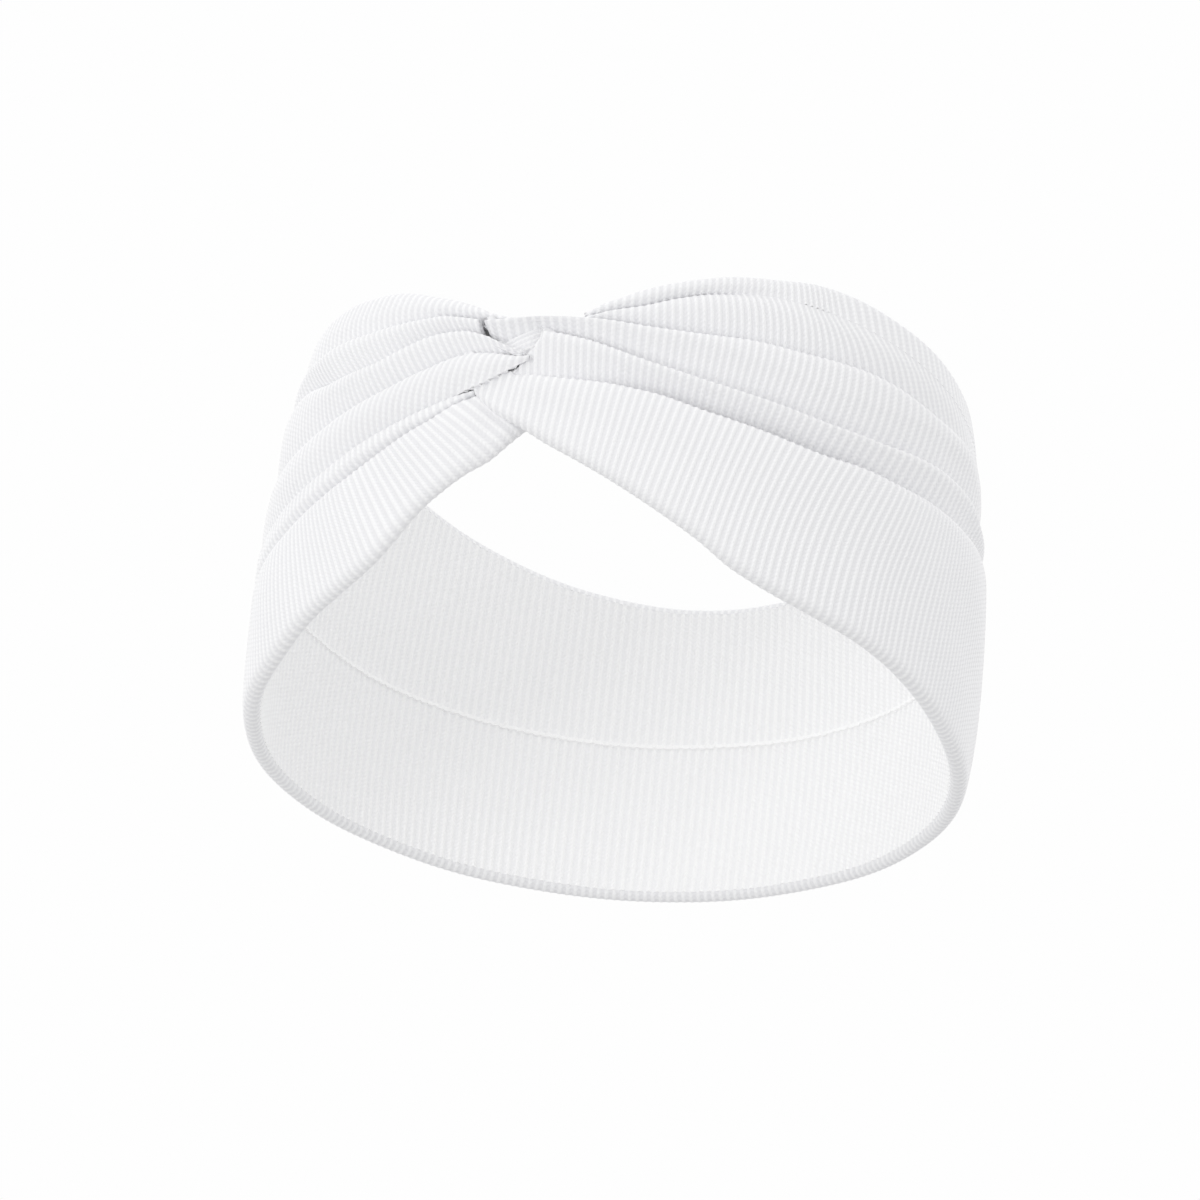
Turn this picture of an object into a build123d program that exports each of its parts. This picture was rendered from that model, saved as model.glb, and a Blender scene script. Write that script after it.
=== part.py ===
"""Twist-front sports headband: a folded tube of rib knit, closed behind a knot.

Frame: millimetres, +Z up along the axis of the loop, the knot towards -Y, +X to the
right of someone who faces the knot. The origin is the centre of the flat lower rim.
Angles round the loop start at the knot and grow towards +X.
"""
from build123d import *
from math import cos, radians, sin
import os

os.makedirs("parts", exist_ok=True)

# ---- the loop -------------------------------------------------------------
fullest_radius = 85.4        # outer face of the band where it stands out most
fullest_height = 30.0        # height of that fullest line above the lower rim
upper_taper = 6.4            # how far the outer face leans in towards the upper rim
band_height = 95.0           # lower rim to upper rim at the sides
back_dip = 16.0              # how much lower the upper rim runs at the back

# ---- the cloth ------------------------------------------------------------
knit = 1.1                   # one layer of rib knit
air_gap = 1.4                # space between the outer face and the lining
seam_room = 0.2              # clearance of the seam allowance in that space
pleat_gap = 0.4              # clearance between neighbouring pleats
rim_lip_rise = 1.1           # the outer face turns under the lower rim by this much

# ---- the lengthwise seam of the lining --------------------------------------
seam_height = 0.432 * band_height   # where the two halves of the lining meet
seam_gap = 0.8               # space between the halves, which the thread bridges
allowance_height = 7.0       # cloth turned in on each side of the seam
thread_diameter = 0.5
stitch_length = 2.6
stitch_pitch_degrees = 3.5

# ---- where the pleated arms start and end ------------------------------------
right_arm_start = 95.0       # degrees from the knot
left_arm_start = -70.0
knot_edge = 8.0              # the arms stop this far either side of the knot's middle
knot_side_gap = 0.3
arm_sections = 16            # upright sections that shape one arm
least_fold = 0.042 * band_height    # a pleat starts where it is this tall

# ---- the knot -----------------------------------------------------------------
wrap = 6.0                   # thickness of a gathered pleat and of one folded end
gather_rate = 1.6            # how soon along an arm that thickness thins to the wall's
knot_bottom = 0.468 * band_height
knot_top = 0.763 * band_height
rear_wrap = 4.0              # the same for the end that runs behind
knot_swell = 1.5             # how far the crossing folds stand out in the middle

# ---- the closing seam behind the knot --------------------------------------------
closing_leaf = 2.2           # both layers of one end, pressed together
closing_depth = 6.0          # how far the leaves stand into the loop
closing_height = 24.0
closing_stitch_count = 6

wall = 2 * knit + air_gap
knot_middle = (knot_bottom + knot_top) / 2
flare = upper_taper / (band_height - fullest_height) ** 2
sweep_angle = 360.0 - right_arm_start + left_arm_start

WHITE = Color(0.93, 0.93, 0.93)


def outer_radius(height):
    """Radius of the band's outer face at a height above the lower rim."""
    return fullest_radius - flare * (height - fullest_height) ** 2


def radial_plane(angle):
    """Upright plane through the loop's axis: local x is outward, local y is up."""
    a = radians(angle)
    return Plane(origin=(0, 0, 0), x_dir=(sin(a), -cos(a), 0), z_dir=(-cos(a), -sin(a), 0))


def wall_point(height, inset):
    """Point of the wall's profile, a given depth inside the outer face."""
    return (outer_radius(height) - inset, height)


def wall_arc(low, high, inset):
    """Curve of the wall between two heights, a given depth inside the outer face."""
    return ThreePointArc(
        wall_point(low, inset), wall_point((low + high) / 2, inset), wall_point(high, inset)
    )


def layer_face(low, high, inset, thickness):
    """Profile of one layer of cloth, as a closed face in the current sketch."""
    with BuildLine() as outline:
        wall_arc(low, high, inset)
        Line(wall_point(high, inset), wall_point(high, inset + thickness))
        wall_arc(low, high, inset + thickness)
        Line(wall_point(low, inset + thickness), wall_point(low, inset))
    make_face(outline.edges())


def spin():
    """Turn the pending profile round the back, from one arm's start to the other's."""
    revolve(axis=Axis.Z, revolution_arc=sweep_angle)


def dip_upper_rim():
    """Cut the upper rim down in a long curve towards the back."""
    reach = fullest_radius + 10.0
    bend = (back_dip**2 + fullest_radius**2) / (2 * back_dip)

    def rim(y):
        return band_height - bend + (bend**2 - y**2) ** 0.5

    with BuildSketch(Plane.YZ) as above_rim:
        with BuildLine():
            ThreePointArc((0, rim(0)), (reach / 2, rim(reach / 2)), (reach, rim(reach)))
            Polyline((reach, rim(reach)), (reach, band_height + 10), (0, band_height + 10), (0, rim(0)))
        make_face()
    extrude(above_rim.sketch, amount=reach, both=True, mode=Mode.SUBTRACT)


# ---- the back and sides: outer face and lining ------------------------------------
with BuildPart() as outer_face:
    with BuildSketch(radial_plane(right_arm_start)):
        layer_face(0, band_height, 0, knit)
        with BuildLine():
            Polyline(
                wall_point(0, knit / 2),
                wall_point(0, wall),
                wall_point(rim_lip_rise, wall),
                wall_point(rim_lip_rise, knit / 2),
                close=True,
            )
        make_face()
    spin()
    dip_upper_rim()
outer_face.part.label = "outer_face"
outer_face.part.color = WHITE
export_step(outer_face.part, "parts/outer_face.step")

lining_low = rim_lip_rise + seam_room
lining_inset = knit + air_gap

with BuildPart() as lining_lower_half:
    with BuildSketch(radial_plane(right_arm_start)):
        layer_face(lining_low, seam_height - seam_gap / 2, lining_inset, knit)
    spin()
lining_lower_half.part.label = "lining_lower_half"
lining_lower_half.part.color = WHITE
export_step(lining_lower_half.part, "parts/lining_lower_half.step")

with BuildPart() as lining_upper_half:
    with BuildSketch(radial_plane(right_arm_start)):
        layer_face(seam_height + seam_gap / 2, band_height, lining_inset, knit)
    spin()
    dip_upper_rim()
lining_upper_half.part.label = "lining_upper_half"
lining_upper_half.part.color = WHITE
export_step(lining_upper_half.part, "parts/lining_upper_half.step")

allowance_inset = knit + seam_room
allowance_thickness = air_gap - 2 * seam_room

with BuildPart() as seam_allowance_lower:
    with BuildSketch(radial_plane(right_arm_start)):
        layer_face(
            seam_height - allowance_height,
            seam_height - seam_gap / 2,
            allowance_inset,
            allowance_thickness,
        )
    spin()
seam_allowance_lower.part.label = "seam_allowance_lower"
seam_allowance_lower.part.color = WHITE
export_step(seam_allowance_lower.part, "parts/seam_allowance_lower.step")

with BuildPart() as seam_allowance_upper:
    with BuildSketch(radial_plane(right_arm_start)):
        layer_face(
            seam_height + seam_gap / 2,
            seam_height + allowance_height,
            allowance_inset,
            allowance_thickness,
        )
    spin()
seam_allowance_upper.part.label = "seam_allowance_upper"
seam_allowance_upper.part.color = WHITE
export_step(seam_allowance_upper.part, "parts/seam_allowance_upper.step")

# one short bar of thread for each stitch, lying along the seam between the halves
stitch_radius = outer_radius(seam_height) - lining_inset - knit / 2
stitch_count = int((sweep_angle - 2 * stitch_pitch_degrees) / stitch_pitch_degrees)
stitch_spots = [
    radial_plane(right_arm_start + stitch_pitch_degrees * (n + 1)) * Pos(stitch_radius, seam_height, 0)
    for n in range(stitch_count)
]
with BuildPart() as seam_stitches:
    with Locations(*stitch_spots):
        Cylinder(radius=thread_diameter / 2, height=stitch_length)
seam_stitches.part.label = "seam_stitches"
seam_stitches.part.color = WHITE
export_step(seam_stitches.part, "parts/seam_stitches.step")

# ---- the pleated arms ---------------------------------------------------------------
# Each arm is cut by lines that run from the side of the loop to the knot. A line is a
# share of the band's height for each of the arm's angles; a pleat lies between two lines.
right_angles = (knot_edge, 12, 20, 35, 55, 75, right_arm_start)
right_lines = {
    "lower_edge": (0.40, 0.36, 0.29, 0.16, 0.085, 0.037, 0.0),
    "deep_crease": (0.59, 0.585, 0.57, 0.53, 0.525, 0.545, 0.57),
    "middle_crease": (0.705, 0.685, 0.65, 0.61, 0.60, 0.64, 0.66),
    "upper_crease": (0.752, 0.749, 0.742, 0.76, 0.785, 0.80, 0.81),
    "upper_edge": (0.77, 0.805, 0.87, 0.94, 1.0, 1.0, 1.0),
}
left_angles = (-knot_edge, -11, -15, -25, -40, -55, left_arm_start)
left_lines = {
    "lower_edge": (0.36, 0.315, 0.275, 0.15, 0.065, 0.02, 0.0),
    "tuck_bottom": (0.552, 0.526, 0.495, 0.447, 0.384, 0.347, 0.337),
    "tuck_top": (0.58, 0.563, 0.547, 0.51, 0.463, 0.447, 0.442),
    "lower_crease": (0.668, 0.668, 0.663, 0.637, 0.605, 0.605, 0.61),
    "middle_crease": (0.726, 0.742, 0.747, 0.737, 0.742, 0.78, 0.79),
    "upper_crease": (0.774, 0.79, 0.805, 0.82, 0.853, 0.884, 0.895),
    "upper_edge": (0.805, 0.832, 0.858, 0.916, 0.974, 1.0, 1.0),
}


def line_height(angles, shares, angle):
    """Height of a line at any angle: a smooth curve through its given shares."""
    heights = [share * band_height for share in shares]

    def slope(i):
        before, after = max(i - 1, 0), min(i + 1, len(angles) - 1)
        return (heights[after] - heights[before]) / (angles[after] - angles[before])

    side = 1 if angles[-1] > angles[0] else -1
    i = max(n for n in range(len(angles) - 1) if side * (angle - angles[n]) >= 0 or n == 0)
    span = angles[i + 1] - angles[i]
    t = (angle - angles[i]) / span
    return (
        (2 * t**3 - 3 * t**2 + 1) * heights[i]
        + (t**3 - 2 * t**2 + t) * span * slope(i)
        + (3 * t**2 - 2 * t**3) * heights[i + 1]
        + (t**3 - t**2) * span * slope(i + 1)
    )


def lofted(name, sections):
    """Loft one soft piece through upright sections and write it out.

    Each section is (angle, low, high, inset, thickness): its height range, how far
    its outer side lies inside the band's outer face, and its thickness inwards.
    """
    with BuildPart() as piece:
        for angle, low, high, inset, thickness in sections:
            lean = (outer_radius(high) - outer_radius(low)) / (high - low)
            outward = outer_radius((low + high) / 2) - inset
            half = (high - low) / 2
            with BuildSketch(radial_plane(angle)):
                with BuildLine():
                    Polyline(
                        (outward - lean * half, low),
                        (outward + lean * half, high),
                        (outward + lean * half - thickness, high),
                        (outward - lean * half - thickness, low),
                        close=True,
                    )
                make_face()
                fillet(vertices(), min(0.4 * thickness, 0.3 * (high - low)))
        loft(ruled=True)
    piece.part.label = name
    piece.part.color = WHITE
    export_step(piece.part, f"parts/{name}.step")


def pleat(name, angles, lower, upper):
    """One pleat of an arm, between two of its lines, thickening towards the knot.

    The pleat starts where its lines are far enough apart to hold a fold.
    """
    sections = []
    for index in range(arm_sections):
        share = index / (arm_sections - 1)
        angle = angles[0] + (angles[-1] - angles[0]) * share
        low = max(line_height(angles, lower, angle), 0.0)
        high = min(line_height(angles, upper, angle), band_height)
        if high - low < least_fold:
            continue
        low += pleat_gap / 2 * (low > 0)
        high -= pleat_gap / 2 * (high < band_height)
        thickness = wrap + (wall - wrap) * min(1.0, gather_rate * share)
        sections.append((angle, low, high, 0.0, thickness))
    lofted(name, sections)


right = list(right_lines.values())
pleat("right_lower_panel", right_angles, right[0], right[1])
pleat("right_pleat_lower", right_angles, right[1], right[2])
pleat("right_pleat_middle", right_angles, right[2], right[3])
pleat("right_pleat_top", right_angles, right[3], right[4])

left = list(left_lines.values())
pleat("left_lower_panel", left_angles, left[0], left[1])
pleat("left_tuck", left_angles, left[1], left[2])
pleat("left_pleat_lower", left_angles, left[2], left[3])
pleat("left_pleat_middle", left_angles, left[3], left[4])
pleat("left_pleat_upper", left_angles, left[4], left[5])
pleat("left_pleat_top", left_angles, left[5], left[6])

# ---- the knot: the two ends of the band, folded round each other ---------------------
# The right end's lower fold comes forward at the bottom, the left end's fold crosses in
# front of it, and the right end's upper fold crosses in front of that one. The left
# end's other half runs behind all three.
near = knot_edge - knot_side_gap
right_end = {name: line[0] * band_height for name, line in right_lines.items()}
left_end = {name: line[0] * band_height for name, line in left_lines.items()}
step = pleat_gap / 2

lofted(
    "knot_fold_right_lower",
    [
        (near, right_end["lower_edge"] + step, right_end["deep_crease"] - step, 0, wrap),
        (0, knot_bottom, left_end["tuck_top"] - step, 0, wrap),
        (-near, left_end["tuck_bottom"] - 2, left_end["tuck_top"] - step, 0, wrap),
    ],
)
lofted(
    "knot_fold_left_front",
    [
        (near, right_end["deep_crease"] + step, right_end["deep_crease"] + 4, 0, wrap),
        (0, left_end["tuck_top"] + step, left_end["lower_crease"] - 1, -knot_swell, wrap + knot_swell),
        (-near, left_end["tuck_top"] + step, left_end["lower_crease"] - step, 0, wrap),
    ],
)
lofted(
    "knot_fold_right_upper",
    [
        (near, right_end["deep_crease"] + 4 + 2 * step, right_end["upper_edge"] - step, 0, wrap),
        (0, left_end["lower_crease"] - 1 + 2 * step, knot_top, -knot_swell, wrap + knot_swell),
        (-near, left_end["lower_crease"] + step, left_end["upper_edge"] - step, 0, wrap),
    ],
)
rear_inset = wrap + pleat_gap
lofted(
    "knot_fold_left_rear",
    [
        (near, knot_bottom + 2, knot_top - 2, rear_inset, rear_wrap),
        (0, knot_bottom + 2, knot_top - 2, rear_inset, rear_wrap),
        (-near, knot_bottom + 2, knot_top - 2, rear_inset, rear_wrap),
    ],
)

# ---- the closing seam behind the knot -------------------------------------------------
# Both ends are sewn together there: two leaves of cloth stand inwards, thread between.
leaf_back = outer_radius(knot_top) - rear_inset - rear_wrap - knot_side_gap
leaf_low = knot_middle - closing_height / 2
for side, name in ((-1, "closing_allowance_left"), (1, "closing_allowance_right")):
    with BuildPart() as leaf:
        with BuildSketch(Plane.XY.offset(leaf_low)):
            with Locations((side * (closing_leaf + seam_gap) / 2, closing_depth / 2 - leaf_back)):
                Rectangle(closing_leaf, closing_depth)
        extrude(amount=closing_height)
        fillet(leaf.edges().group_by(Axis.Y)[-1], 0.4 * closing_leaf)
    leaf.part.label = name
    leaf.part.color = WHITE
    export_step(leaf.part, f"parts/{name}.step")

closing_pitch = closing_height / closing_stitch_count
closing_spots = [
    (0, closing_depth / 2 - leaf_back, leaf_low + closing_pitch * (n + 0.5))
    for n in range(closing_stitch_count)
]
with BuildPart() as closing_stitches:
    with Locations(*closing_spots):
        Cylinder(radius=thread_diameter / 2, height=stitch_length)
closing_stitches.part.label = "closing_stitches"
closing_stitches.part.color = WHITE
export_step(closing_stitches.part, "parts/closing_stitches.step")
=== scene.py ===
"""Looks of a twist-front sports headband in white rib knit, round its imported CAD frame.

The whole band is one folded tube of rib knit. It is draped here from flat grids of cloth:
every grid column follows one line across the band, and the ribs run along the columns.
Sizes are in millimetres until a mesh is written. Angles go round the loop from the knot
towards +X. An inset is a depth inside the band's outer face, an outset the opposite.
"""

import logging
import math
from dataclasses import dataclass, replace
from enum import Enum

import bpy
import numpy as np
from mathutils import Matrix, Vector


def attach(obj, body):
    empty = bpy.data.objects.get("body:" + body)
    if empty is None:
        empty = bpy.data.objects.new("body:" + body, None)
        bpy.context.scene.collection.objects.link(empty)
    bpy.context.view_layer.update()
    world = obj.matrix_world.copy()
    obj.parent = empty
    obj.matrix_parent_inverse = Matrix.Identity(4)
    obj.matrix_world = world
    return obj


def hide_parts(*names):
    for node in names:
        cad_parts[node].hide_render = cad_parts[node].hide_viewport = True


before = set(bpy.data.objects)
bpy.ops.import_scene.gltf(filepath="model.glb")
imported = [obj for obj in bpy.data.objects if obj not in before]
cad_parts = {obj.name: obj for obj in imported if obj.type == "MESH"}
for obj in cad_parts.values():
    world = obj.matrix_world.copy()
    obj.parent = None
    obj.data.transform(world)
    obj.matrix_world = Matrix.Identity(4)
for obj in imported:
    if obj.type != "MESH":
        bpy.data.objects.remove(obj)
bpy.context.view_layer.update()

LOG = logging.getLogger("headband")
MM = 0.001
ROOT = "root"


# ---- shared shape helpers ----------------------------------------------------------
Course = tuple[tuple[float, float], ...]  # points of a curve: where it is read, and its value
NOUGHT: Course = ((-180.0, 0.0), (180.0, 0.0))


def smoothstep(low: float, high: float, x: np.ndarray) -> np.ndarray:
    """Rise smoothly from 0 at low to 1 at high.

    Args:
        low: where the rise starts.
        high: where it ends; it may be below low, for a fall.
        x: the values to weigh.

    Returns:
        Weights between 0 and 1.
    """
    t = np.clip((x - low) / (high - low), 0.0, 1.0)
    return t * t * (3.0 - 2.0 * t)


def through(points: Course, x: np.ndarray) -> np.ndarray:
    """Read a smooth curve that passes through given points.

    Args:
        points: (x, y) pairs with rising x.
        x: where to read it.

    Returns:
        The curve's y at each x, level beyond its ends.
    """
    px = np.array([p[0] for p in points], float)
    py = np.array([p[1] for p in points], float)
    secants = np.diff(py) / np.diff(px)
    slopes = np.zeros_like(px)
    for i in range(1, len(px) - 1):
        a, b = secants[i - 1], secants[i]
        slopes[i] = 0.0 if a * b <= 0 else 2.0 * a * b / (a + b)
    slopes[0], slopes[-1] = secants[0], secants[-1]
    x = np.clip(x, px[0], px[-1])
    i = np.clip(np.searchsorted(px, x, side="right") - 1, 0, len(px) - 2)
    span = px[i + 1] - px[i]
    t = (x - px[i]) / span
    return (
        (2 * t**3 - 3 * t**2 + 1) * py[i]
        + (t**3 - 2 * t**2 + t) * span * slopes[i]
        + (3 * t**2 - 2 * t**3) * py[i + 1]
        + (t**3 - t**2) * span * slopes[i + 1]
    )


@dataclass(frozen=True)
class Loop:
    """The band's outer face before it is pleated: a slightly barrelled ring.

    Attributes:
        fullest_radius: radius at its fullest.
        fullest_height: height at which it is fullest.
        upper_taper: how much narrower it is at the upper rim.
        height: height of the band at its sides.
        back_dip: how much lower the upper rim lies at the back.
        wall: depth of the folded tube, from the outer face to the lining.
    """

    fullest_radius: float = 85.4
    fullest_height: float = 30.0
    upper_taper: float = 6.4
    height: float = 95.0
    back_dip: float = 16.0
    wall: float = 3.6

    @property
    def arc(self) -> float:
        """Millimetres round the outer face for one degree."""
        return math.radians(self.fullest_radius)

    def radius(self, z: np.ndarray) -> np.ndarray:
        """Radius of the outer face at height z."""
        flare = self.upper_taper / (self.height - self.fullest_height) ** 2
        return self.fullest_radius - flare * (z - self.fullest_height) ** 2

    def rim(self, angle: np.ndarray) -> np.ndarray:
        """Height of the upper rim of the unpleated band at an angle."""
        back = np.clip(-np.cos(np.radians(angle)), 0.0, 1.0)
        return self.height - self.back_dip * back**2

    def place(self, angle: np.ndarray, z: np.ndarray, inset: np.ndarray) -> np.ndarray:
        """Turn angle, height and inset into points in space.

        Args:
            angle: angles round the loop.
            z: heights.
            inset: depths inside the outer face.

        Returns:
            An array with x, y, z in millimetres along its last axis.
        """
        r = self.radius(z) - inset
        a = np.radians(angle)
        return np.stack([r * np.sin(a), -r * np.cos(a), z], axis=-1)


@dataclass(frozen=True)
class Knit:
    """The cloth: a rib knit whose ribs run across the band.

    Attributes:
        rib_pitch: distance between two ribs of unstretched cloth.
        columns_per_rib: grid columns that draw one rib.
        rib_rise: height of a rib.
        ridge_sharpness: how narrow the ridges are; 1 is a plain wave.
        thickness: thickness of the cloth.
        rim_roll: radius of the turn over the band's edge.
        rim_relief: share of the ribs' rise that is left where the cloth is squeezed.
        full_relief_height: height of a strip whose ribs have their full rise.
        fade_start: distance off an edge at which the ribs start to rise.
        fade_end: distance at which they have their full rise.
    """

    rib_pitch: float = 2.03
    columns_per_rib: int = 6
    rib_rise: float = 0.36
    ridge_sharpness: float = 2.0
    thickness: float = 1.1
    rim_roll: float = 1.8
    rim_relief: float = 0.45
    full_relief_height: float = 7.0
    fade_start: float = 0.5
    fade_end: float = 4.0

    def fade(self, off: np.ndarray, end: float = fade_end) -> np.ndarray:
        """Share of the ribs' rise that is left near an edge of the cloth.

        Args:
            off: distance from the edge.
            end: distance from which on the ribs have their full rise.

        Returns:
            Shares of the full rise.
        """
        return self.rim_relief + (1 - self.rim_relief) * smoothstep(self.fade_start, end, off)

    def rise(self, ribs: np.ndarray) -> np.ndarray:
        """How far the cloth stands up: narrow rounded ridges with wide valleys.

        Args:
            ribs: how many ribs along the band each column lies; a whole number is a valley.

        Returns:
            The rise of each column in millimetres.
        """
        wave = 0.5 - 0.5 * np.cos(2 * np.pi * ribs)
        return self.rib_rise * wave**self.ridge_sharpness


REACH = (-200.0, 400.0)  # angles between which ribs are counted; the lining runs up to 290
REACH_STEPS = 12001


@dataclass(frozen=True)
class RibSpacing:
    """How closely the ribs of a piece stand round the loop, where the cloth is stretched.

    Attributes:
        density: (angle, ribs in a full turn) points.
        origin: angle where a valley lies.
    """

    density: Course
    origin: float

    def columns(self, start: float, end: float) -> tuple[np.ndarray, np.ndarray]:
        """Grid columns between two angles, snapped to whole ribs.

        Args:
            start: angle of the first column.
            end: angle of the last column.

        Returns:
            How many ribs along each column lies, and its angle.
        """
        fine = np.linspace(*REACH, REACH_STEPS)
        steps = through(self.density, fine[1:]) / 360 * np.diff(fine)
        run = np.concatenate([[0.0], np.cumsum(steps)])
        run -= np.interp(self.origin, fine, run)
        first, last = (round(float(np.interp(at, fine, run))) for at in (start, end))
        ribs = np.linspace(first, last, abs(last - first) * KNIT.columns_per_rib + 1)
        return ribs, np.interp(ribs, run, fine)


def even_ribs(count: float, origin: float) -> RibSpacing:
    """Ribs that stand evenly round the loop, count to the turn, with a valley at the origin."""
    return RibSpacing(tuple((angle, count) for angle in REACH), origin)


def signed(angle: np.ndarray) -> np.ndarray:
    """The same angles, counted from -180 to 180 degrees."""
    return (angle + 180.0) % 360.0 - 180.0


LOOP = Loop()
KNIT = Knit()
PLAIN_RIBS = 264.0  # ribs in a full turn of the plain back


# ---- the route of a fold --------------------------------------------------------------
@dataclass(frozen=True)
class Crease:
    """A valley between two pleats, or an edge of the band, along one arm.

    Attributes:
        heights: (angle, height) points along it.
        depths: (angle, depth) points; how deep the valley runs.
    """

    heights: Course
    depths: Course = NOUGHT

    def height(self, angle: np.ndarray) -> np.ndarray:
        """Height of the crease at an angle."""
        return through(self.heights, angle)

    def depth(self, angle: np.ndarray) -> np.ndarray:
        """Depth of the crease at an angle."""
        return through(self.depths, angle)


LEVEL = Crease(NOUGHT)


class Edge(Enum):
    """How a strip of cloth ends along one side."""

    RIM = "rolled over the band's edge"
    CREASE = "tucked into a valley"


# ---- flat cloth, then draped cloth -------------------------------------------------------
CUT_PERCENTILE = 95.0  # of the columns' lengths: a few that are stretched at a fold don't count
SMOOTH_ANGLE = math.radians(75.0)


@dataclass(frozen=True)
class Draped:
    """Places of a sheet's grid points before its ribs are raised.

    Attributes:
        ribs: how many ribs along the band each column lies.
        angle: angle of each column and row.
        z: height of each column and row.
        inset: inset of each column and row.
        relief: share of the ribs' full rise at each column and row.
    """

    ribs: np.ndarray
    angle: np.ndarray
    z: np.ndarray
    inset: np.ndarray
    relief: np.ndarray | float = 1.0

    def points(self) -> np.ndarray:
        """Raise the ribs on the front of the cloth.

        Returns:
            Places in space, in millimetres.
        """
        smooth = LOOP.place(self.angle, self.z, self.inset)
        along = np.gradient(smooth, axis=0)
        across = np.gradient(smooth, axis=1)
        normal = np.cross(along, across)
        normal /= np.maximum(np.linalg.norm(normal, axis=-1, keepdims=True), 1e-9)
        rise = KNIT.rise(self.ribs)[:, None] * self.relief
        return smooth + normal * rise[..., None]

    def uv(self) -> np.ndarray:
        """Measure the cloth.

        Returns:
            Cloth coordinates in millimetres: across the ribs, then along them.
        """
        smooth = LOOP.place(self.angle, self.z, self.inset)
        steps = np.linalg.norm(np.diff(smooth, axis=1), axis=-1)
        run = np.concatenate([np.zeros((len(steps), 1)), np.cumsum(steps, axis=1)], axis=1)
        round_band = np.broadcast_to((self.ribs * KNIT.rib_pitch)[:, None], run.shape)
        return np.stack([round_band, run], axis=-1)

    def flat_size(self) -> tuple[tuple[float, float], float]:
        """Work out the size the sheet was cut to.

        Returns:
            Its bounding rectangle in metres and its own area in square metres.
        """
        run = self.uv()[:, -1, 1] * MM
        width = float(np.percentile(run, CUT_PERCENTILE))
        length = abs(float(self.ribs[-1] - self.ribs[0])) * KNIT.rib_pitch * MM
        return (width, length), float(np.minimum(run, width).mean()) * length


class Cloth:
    """A flat grid of cloth, laid out as it is cut and then draped."""

    def __init__(self, name: str, shape: tuple[int, int]) -> None:
        """Lay out a flat grid.

        Args:
            name: name of the piece.
            shape: number of grid columns along the band, and of rows across it.
        """
        bpy.ops.object.select_all(action="DESELECT")
        bpy.ops.mesh.primitive_grid_add(
            x_subdivisions=shape[0] - 1, y_subdivisions=shape[1] - 1
        )
        self.piece = bpy.context.active_object
        self.piece.name = name
        self.piece.data.name = name
        flat = np.empty(len(self.piece.data.vertices) * 3)
        self.piece.data.vertices.foreach_get("co", flat)
        flat = flat.reshape(-1, 3)
        self.column = np.rint((flat[:, 0] + 1) / 2 * (shape[0] - 1)).astype(int)
        self.row = np.rint((flat[:, 1] + 1) / 2 * (shape[1] - 1)).astype(int)

    def drape(self, draped: Draped) -> None:
        """Move the flat grid's points to their draped places and lay its UV map.

        Args:
            draped: where the points go.
        """
        mesh = self.piece.data
        mesh.vertices.foreach_set("co", (draped.points()[self.column, self.row] * MM).ravel())
        corner = np.empty(len(mesh.loops), dtype=int)
        mesh.loops.foreach_get("vertex_index", corner)
        uv = draped.uv()[self.column[corner], self.row[corner]]
        mesh.uv_layers[0].name = "cloth"
        mesh.uv_layers[0].data.foreach_set("uv", uv.ravel())
        mesh.update()

    def thicken(self, thickness: float) -> None:
        """Give the sheet its thickness on the hidden side and shade it smooth.

        Args:
            thickness: thickness of the cloth in millimetres.
        """
        bpy.ops.object.select_all(action="DESELECT")
        self.piece.select_set(True)
        bpy.context.view_layer.objects.active = self.piece
        solid = self.piece.modifiers.new("cloth_thickness", "SOLIDIFY")
        solid.thickness = thickness * MM
        solid.offset = -1.0
        bpy.ops.object.modifier_apply(modifier=solid.name)
        bpy.ops.object.shade_smooth_by_angle(angle=SMOOTH_ANGLE)


def sew(
    name: str, draped: Draped, nodes: tuple[str, ...], finish: bpy.types.Material
) -> None:
    """Args:
        name: name of the piece.
        draped: its shape.
        nodes: CAD nodes it stands for.
        finish: its material.
    """
    cloth = Cloth(name, draped.z.shape)
    cloth.drape(draped)
    cloth.thicken(KNIT.thickness)
    piece = cloth.piece
    piece.data.materials.append(finish)
    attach(piece, ROOT)
    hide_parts(*nodes)
    size, area = draped.flat_size()
    width, length = (side / MM for side in size)
    LOG.info("%s: %d faces, cut %.0f x %.0f mm", name, len(piece.data.polygons), width, length)


# ---- one pleat of an arm ---------------------------------------------------------------
PROFILE = np.linspace(0.0, 1.0, 48)  # steps along each edge and along the face between them
ROLL_SHARE = 0.3  # most of a strip's height that its rolled rim takes up
WIDEST_SHOULDER = 9.0
LEAST_HEIGHT = 0.3  # of a strip that is squeezed between two creases
LEAST_DEPTH = 0.01
LEAST_STEP = 1e-6
SETTLING_ROUNDS = 20  # enough to settle where a leaning rib meets an edge
CREASE_SHARPENS = (0.4, 3.0)  # depths between which a soft dent becomes a sharp valley
FOLD_SWELLS = (0.3, 3.0)  # depths between which a strip swells into a fold
CREST_RISES = (0.35, 0.9)  # shares of a strip's height over which its crest rises
# size in mm, waves in a turn, radians per mm of height, and phase of the cloth's soft waves
WAVES = ((0.16, 5, 0.11, 0.0), (0.12, 9, -0.07, 1.3), (0.1, 14, 0.19, 0.4))


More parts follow.
